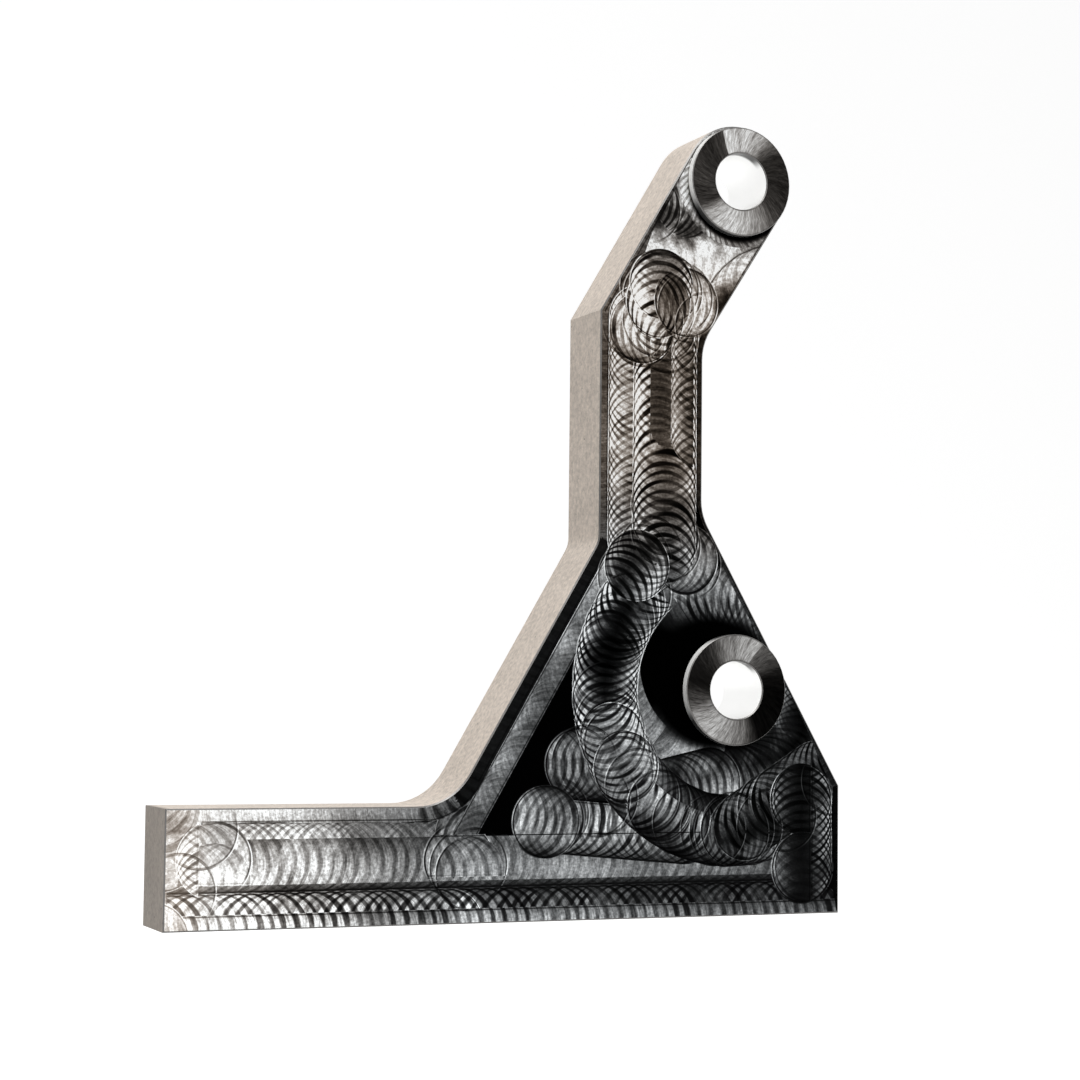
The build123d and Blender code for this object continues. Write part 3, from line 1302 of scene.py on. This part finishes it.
def finish_metal(tree, colour, roughness, height, strength=0.3, relief=fine_relief, metallic=1.0):
    """Feeds the metal's shader; the height stands out as a bump of that relief in metres."""
    bump = {"Strength": strength, "Distance": relief, "Height": height}
    shader = tree.nodes["Principled BSDF"]
    tree.feed(shader.inputs["Base Color"], colour)
    tree.feed(shader.inputs["Roughness"], roughness)
    tree.feed(shader.inputs["Metallic"], metallic)
    tree.feed(shader.inputs["Normal"], tree.node("ShaderNodeBump", bump))


print("The finest relief is", round(1000 * fine_relief / mm), "thousandths of a millimetre")

# %% Make the milled material
def milled_material():
    material, tree, place = new_metal("milled_aluminium_marks")
    x, z = plate_point(tree.parts(place))
    here = pass_under(tree, x, z)
    arcs = arcs_at(tree, x, z, here)
    light = daylight(x, z)
    cloud = tree.noise_at(x * 0.07, z * 0.07, 3.0, 1.0)
    mottle = tree.noise_at(x * 1.5, z * 1.5, 5.0, 2.0, 0.6)
    tone = (here.least + arcs.glow * (1 - here.least)) * arcs.shade * here.shine * light
    tone = tone * (1.0 + (arcs.scratches - 0.5) * (arcs.strongest * 1.2 + 0.9))
    tone = tone * (1.0 + (cloud - 0.5) * 0.9) * (1.0 + (mottle - 0.5) * 1.1)
    tone = bordered(tone, here, arcs.glow, cloud, light)
    for name in ("score_first", "score_second"):
        tone = scored(tree, name, tone, x, z, light)
    tone = painted_light_shade_and_spots(tree, tone, x, z).at_most(1.0).at_least(0.0)
    colour = metal_colour(tree, tone, warmth_at(x, z))
    finish_metal(tree, colour, (1 - tone) * 0.12 + 0.26, arcs.relief)
    return material


milled = milled_material()
print("Milled material:", len(milled.node_tree.nodes), "nodes")

# %% [markdown]
# ## Boss faces
#
# The two boss faces were faced off by themselves. Their grooves run away from the hole, so each
# face shows bright and dark sectors like a turned dial, with one sharp change where the cut began.
# Those sectors are a painted reflection: their tones are set in the colour.

# %% Make the boss faces
flat_from, flat_to = 6.75, 12.3


def boss_material(name, hole, sectors, seed, warmth):
    """A ring of grooves that run away from the hole; sectors give (degrees, tone) of painted reflection
    round it.
    """
    material, tree, place = new_metal(name)
    x, z = plate_point(tree.parts(place))
    over, up = x - hole[0], z - hole[1]
    radius, turn = distance(over, up), turn_to(over, up)
    turned = (turn + radius * 0.02) / (2 * pi)
    round_share = turned - turned.math("FLOOR", turned)
    stops = [(degrees_round / 360, (tone, tone, tone)) for degrees_round, tone in sectors]
    base = tree.parts(tree.node("ShaderNodeValToRGB", {0: round_share}, stops=stops))[0]

    lean = turn + radius * 0.035
    streak_place = tree.vector(lean.cosine() * 9, lean.sine() * 9, radius * 0.14)
    streaks = tree.noise(streak_place, 1.6, 4.0, 0.7)
    fine = tree.noise(streak_place, 6.0, 2.0, 0.6)
    soft = tree.noise_at(over * 0.13, up * 0.13, seed, 2.0) - 0.5
    lift = (streaks - 0.5) * 1.3 + (fine - 0.5) * 0.9
    tone = (base * (1 + lift) + lift * 0.06 + soft * 0.25 * base).at_least(0.0).at_most(1.0)
    # The face is darker just inside its inner and outer edges.
    at_face_edges = radius.step(flat_to - 0.25, flat_to) + radius.step(flat_from + 0.2, flat_from)
    tone = tone * (1 - at_face_edges * 0.35)
    colour = metal_colour(tree, tone, warmth)
    finish_metal(tree, colour, 0.34 - tone * 0.08, streaks + fine * 0.5, strength=0.25)
    return material


# Painted reflection: the tone of each sector of a boss face, in degrees round its hole.
upper_sectors = [
    (0, 0.17), (48, 0.16), (62, 0.34), (76, 0.64), (95, 0.77), (126.5, 0.78), (127.5, 0.26),
    (150, 0.17), (195, 0.24), (222, 0.2), (236, 0.62), (262, 0.76), (285, 0.7), (312, 0.5),
    (335, 0.22), (360, 0.17),
]
lower_sectors = [
    (0, 0.02), (28, 0.05), (48, 0.26), (66, 0.34), (71, 0.36), (72, 0.68), (92, 0.63), (115, 0.5),
    (142, 0.17), (182, 0.07), (206, 0.3), (224, 0.6), (246, 0.66), (268, 0.54), (292, 0.4),
    (312, 0.03), (360, 0.02),
]
upper_face = boss_material("upper_boss_face", upper_hole, upper_sectors, 2.0, 0.5)
lower_face = boss_material("lower_boss_face", lower_hole, lower_sectors, 9.0, 0.4)
print("Boss faces:", upper_face.name, lower_face.name)

# %% [markdown]
# ## The other surfaces
#
# The side walls were cut, not milled, and stay dull and beige-grey with fine pits. The edge breaks
# are a file's width of metal painted dark with a strong mottle as their shade, the bores are smooth
# with painted shade at their tops, the boss walls are painted near white as a highlight and dark
# underneath as shade, and the back is the plate's own skin.

# %% Make a metal of one colour
def plain_metal(name, colour, roughness, metallic, spread=0.12, grain=(1.0, 1.0, 1.0), pits=0.0,
                darker=None, speckle=1.0, relief=0.00003):
    """A metal of one colour with soft clouds, a grain and, where wanted, small dark pits."""
    material, tree, place = new_metal(name)
    per_mm = tree.node("ShaderNodeVectorMath", {0: place, "Scale": 1 / mm}, operation="SCALE")
    stretched = tree.node("ShaderNodeVectorMath", {0: per_mm, 1: grain}, operation="MULTIPLY")
    cloud = tree.noise(per_mm, 0.08, 3.0)
    fine = tree.noise(stretched, 2.5, 3.0, 0.65)
    value = (cloud - 0.5) * spread * 1.5 + (fine - 0.5) * spread * speckle + 1.0
    height = fine
    if pits:
        cell = tree.node("ShaderNodeTexVoronoi", {"Vector": per_mm, "Scale": 0.5})
        pit = cell.step(0.15, 0.06) * tree.noise(per_mm, 0.4).step(0.52, 0.6)
        value = value * (1 - pit * pits)
        height = fine - pit * 2
    if darker:
        value = value * darker(tree, per_mm)
    base = tree.node("ShaderNodeVectorMath", {0: colour, "Scale": value}, operation="SCALE")
    finish_metal(tree, base, fine * 0.1 + (roughness - 0.05), height, relief=relief, metallic=metallic)
    return material


print("One recipe makes the walls, the edge breaks, the bores and the back")

# %% Say where a surface is darker
def darker_free_end(tree, per_mm):
    """The foot's free end is darker than the long walls."""
    x, _, _ = tree.parts(per_mm)
    return x.step(-78.5, -77.0).mix(0.54, 1.0)


def from_hole(tree, per_mm):
    """How far to the right of and above its bolt hole's middle a point lies."""
    x, _, z = tree.parts(per_mm)
    x = x + half_length / mm
    in_upper = z.above(between_holes)
    over = in_upper.mix(x - lower_hole[0], x - upper_hole[0])
    up = in_upper.mix(z - lower_hole[1], z - upper_hole[1])
    return over, up


def boss_wall_light_and_shade(tree, per_mm):
    """Painted light and shade on a boss wall: it shines towards the upper left and is dark underneath."""
    over, up = from_hole(tree, per_mm)
    towards_light = (up * 0.3 - over * 0.95) / distance(over, up)
    return towards_light.step(0.6, 0.88).mix(0.05, 1.0)


def bore_top_shade(tree, per_mm):
    """Painted shade: a bore's top is dark for a few millimetres behind its mouth."""
    _, up = from_hole(tree, per_mm)
    _, y, _ = tree.parts(per_mm)
    return 1 - up.step(3.5, 5.6) * (y - boss_level / mm).step(3.0, 1.8) * 0.9


print("Darker: the free end, the boss walls underneath and the bores' tops")

# %% Make the plain materials
cut_wall = plain_metal("cut_wall", (0.7, 0.618, 0.54), 0.65, 0.25, spread=0.18, pits=0.6,
                       grain=(0.42, 0.42, 0.42), darker=darker_free_end, speckle=6.0, relief=0.0002)
# Painted shade: the edge breaks are dark metal with a strong mottle.
edge_break = plain_metal("edge_break", (0.16, 0.155, 0.15), 0.4, 1.0, spread=0.8)
# The boss walls are painted near white as the highlight they catch, with painted shade underneath.
boss_wall = plain_metal("boss_wall", (1.0, 1.0, 0.98), 0.4, 0.0, grain=(1.0, 6.0, 1.0),
                        darker=boss_wall_light_and_shade)
bore = plain_metal("bore", (0.97, 0.97, 0.96), 0.3, 1.0, spread=0.04, grain=(1.0, 8.0, 1.0),
                   darker=bore_top_shade)
back_skin = plain_metal("back_skin", (0.60, 0.59, 0.57), 0.42, 1.0, grain=(0.1, 1.0, 3.0))
for material in (milled, upper_face, lower_face, boss_wall, edge_break, cut_wall, bore, back_skin):
    piece_mesh.materials.append(material)
print("Materials:", [material.name for material in piece_mesh.materials])

# %% [markdown]
# ## The relief of the cuts
#
# No two passes end at quite the same depth, and each mark is a shallow wave left by the cutter's
# corner. The steps are a few hundredths of a millimetre: too little to measure on the outline,
# enough for an edge between two bands to catch the light. A Geometry Nodes tree sinks the milled
# face by that rule, pass by pass. The corners on the rim stay where the CAD model has them.

# %% Name the sizes that the tree takes in
relief_sizes = {
    "Step between passes": 0.02 * mm,
    "Depth of a mark": 0.006 * mm,
    "Cutter radius": cutter_radius,
    "Seed": 8,
    "Material": milled,
}
relief_kinds = {"Seed": "NodeSocketInt", "Material": "NodeSocketMaterial"}


def on_faces(tree, value):
    """Reckons a value once for each face, and shares it out among the face's corners."""
    return tree.node("GeometryNodeFieldOnDomain", {0: value}, data_type="FLOAT", domain="FACE")


print("Deepest cut:", round(sum(list(relief_sizes.values())[:2]) / mm, 3), "mm")

# %% Wire the tree
def sinking_tree():
    group = bpy.data.node_groups.new("cutter_relief", "GeometryNodeTree")
    group.interface.new_socket("Geometry", in_out="INPUT", socket_type="NodeSocketGeometry")
    for name in relief_sizes:
        kind = relief_kinds.get(name, "NodeSocketFloat")
        group.interface.new_socket(name, in_out="INPUT", socket_type=kind)
    group.interface.new_socket("Geometry", in_out="OUTPUT", socket_type="NodeSocketGeometry")
    tree = Tree(group)
    inputs = {socket.name: Value(tree, socket) for socket in tree.nodes.new("NodeGroupInput").outputs}

    x, z = plate_point(tree.parts(tree.node("GeometryNodeInputPosition")))
    path_x, path_z, angle = stored_on_mesh(tree, "path_place")
    bend, _, _ = stored_on_mesh(tree, "path_form")
    _, _, pitch = stored_on_mesh(tree, "path_width")
    seed, _, _ = stored_on_mesh(tree, "path_seed")
    along, across, _, _ = place_on_pass(x, z, path_x, path_z, angle, bend)
    radius = inputs["Cutter radius"]
    slant = (across / radius).at_least(-1.0).at_most(1.0).arc_sine()
    lead = along - slant.cosine() * radius
    wave = (lead / pitch * (2 * pi)).cosine() * 0.5 + 0.5
    random = {2: 0.0, 3: 1.0, "ID": seed, "Seed": inputs["Seed"]}
    step = tree.node("FunctionNodeRandomValue", random, output=1, data_type="FLOAT")
    depth = step * inputs["Step between passes"] + wave * inputs["Depth of a mark"]

    material_number = tree.node("GeometryNodeInputMaterialIndex")
    is_milled = material_number.math("COMPARE", material_number, 0.0, 0.5)
    all_milled = on_faces(tree, is_milled).above(0.999)
    moved = {"Geometry": inputs["Geometry"], "Selection": all_milled}
    moved["Offset"] = tree.vector(0.0, on_faces(tree, depth), 0.0)
    sunk = tree.node("GeometryNodeSetPosition", moved)
    real = tree.node("GeometryNodeRealizeInstances", {"Geometry": sunk})
    finish = {"Geometry": real, "Selection": is_milled, "Material": inputs["Material"]}
    dressed = tree.node("GeometryNodeSetMaterial", finish)
    tree.node("NodeGroupOutput", {"Geometry": dressed})
    return group


relief_tree = sinking_tree()
print("Relief tree:", len(relief_tree.nodes), "nodes, inputs", list(relief_sizes))

# %% Sink the milled face
milled_brace = add_object("milled_brace", piece_mesh)
relief = milled_brace.modifiers.new("cutter_relief", "NODES")
relief.node_group = relief_tree
for item in relief_tree.interface.items_tree:
    if item.name in relief_sizes:
        relief[item.identifier] = relief_sizes[item.name]

graph = bpy.context.evaluated_depsgraph_get()
sunk_mesh = bpy.data.meshes.new_from_object(
    milled_brace.evaluated_get(graph), preserve_all_data_layers=True, depsgraph=graph
)
milled_brace.modifiers.remove(relief)
moved_by = [new.co.y - old.co.y for new, old in zip(sunk_mesh.vertices, piece_mesh.vertices)]
print("Sunk by at most", round(max(moved_by) / mm, 4), "mm at", sum(by > 0 for by in moved_by), "corners")
milled_brace.data = sunk_mesh
print("Materials after it:", [material.name for material in sunk_mesh.materials])

# %% [markdown]
# ## A flat layout for textures
#
# Whoever bakes these materials needs every face laid flat on one square. The milled front takes
# most of it, seen straight on. The plain back fits at half that scale in the space over the foot,
# and the walls, bores and boss walls are unrolled into bands beside them.

# %% Choose where each part of the layout goes
sheet_side = 184.0
sheet_margin = 1.5
back_corner = (sheet_margin, 92.0)
back_scale = 0.5
wall_rows = ((160.8, sheet_margin), (172.0, sheet_margin))
wall_scale = 0.55
row_room = (sheet_side - 2 * sheet_margin) / wall_scale
round_bands = {
    ("bore", True): (3.0, 31.0, 0.8),
    ("bore", False): (3.0, 48.0, 0.8),
    ("boss_wall", True): (3.0, 66.0, 0.7),
    ("boss_wall", False): (3.0, 70.0, 0.7),
}

ring_steps = np.hypot(*(np.roll(wall_ring, -1, axis=0) - wall_ring).T)
ring_at = np.concatenate([[0.0], np.cumsum(ring_steps)])
second_row = int(np.searchsorted(ring_at, row_room, side="right")) - 1
print("Walls:", round(ring_at[-1]), "mm long, in rows of", round(ring_at[second_row]), "and",
      round(ring_at[-1] - ring_at[second_row]), "mm; room for", round(row_room))

# %% Unroll the walls and the round parts
def unrolled_wall(corners):
    """Places on the sheet for one wall face, from its corners as (x, y, z) in millimetres."""
    numbers = [int(np.argmin(np.hypot(*(wall_ring - (x, z)).T))) for x, _, z in corners]
    if max(numbers) - min(numbers) > 1:
        numbers = [number or len(wall_ring) for number in numbers]
    row = int(min(numbers) >= second_row)
    start, base = ring_at[second_row] * row, wall_rows[row]
    return [
        (base[0] + (y - floor_level / mm) * wall_scale, base[1] + (ring_at[number] - start) * wall_scale)
        for number, (_, y, _) in zip(numbers, corners)
    ]


def unrolled_round(corners, region):
    """The same for a face of a bore or of a boss wall."""
    is_upper = corners[0][2] > between_holes
    hole = upper_hole if is_upper else lower_hole
    turns = [atan2(z - hole[1], x - hole[0]) for x, _, z in corners]
    if max(turns) - min(turns) > pi:
        turns = [turn + 2 * pi if turn < 0 else turn for turn in turns]
    base_x, base_z, scale = round_bands[region, is_upper]
    radius = hypot(corners[0][0] - hole[0], corners[0][2] - hole[1])
    return [
        (base_x + (turn + pi) * radius * scale, base_z + (y - boss_level / mm) * scale)
        for turn, (_, y, _) in zip(turns, corners)
    ]


def laid_flat(mesh):
    """A place on the sheet, from 0 to 1, for every face corner of the mesh."""
    corner_of = read_all(mesh.loops, "vertex_index", kind=int)[0]
    spots = read_all(mesh.vertices, "co", width=3)[:, corner_of]
    x, z = plate_point(spots)
    y = spots[1] / mm
    places = np.stack([x + sheet_margin, z + sheet_margin], axis=1)
    for face in mesh.polygons:
        loops = slice(face.loop_start, face.loop_start + face.loop_total)
        region = regions[face.material_index]
        if face.normal.y > 1 - facing:
            over = 2 * half_length / mm - x[loops]
            places[loops] = np.stack([over, z[loops]], axis=1) * back_scale + back_corner
        elif abs(face.normal.y) < 1 - facing:
            corners = list(zip(x[loops], y[loops], z[loops]))
            flat = unrolled_wall(corners) if region == "cut_wall" else unrolled_round(corners, region)
            places[loops] = flat
    return places / sheet_side


layout = laid_flat(sunk_mesh)
sunk_mesh.uv_layers.new(name="OFBake").uv.foreach_set("vector", layout.astype(np.float32).ravel())
print("Layout reaches from", layout.min(axis=0).round(3), "to", layout.max(axis=0).round(3))

# %% [markdown]
# ## Fitting the finished brace to the frame
#
# The dressed mesh takes the CAD node's place: that node is hidden, and the new mesh rides on the
# root body, so the part keeps its one piece.

# %% Put the finished brace in the frame
shading_break = radians(25)
for face in sunk_mesh.polygons:
    face.use_smooth = True
sunk_mesh.set_sharp_from_angle(angle=shading_break)
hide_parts("engine_brace")
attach(milled_brace, "root")
print("Finished brace:", len(sunk_mesh.polygons), "faces")
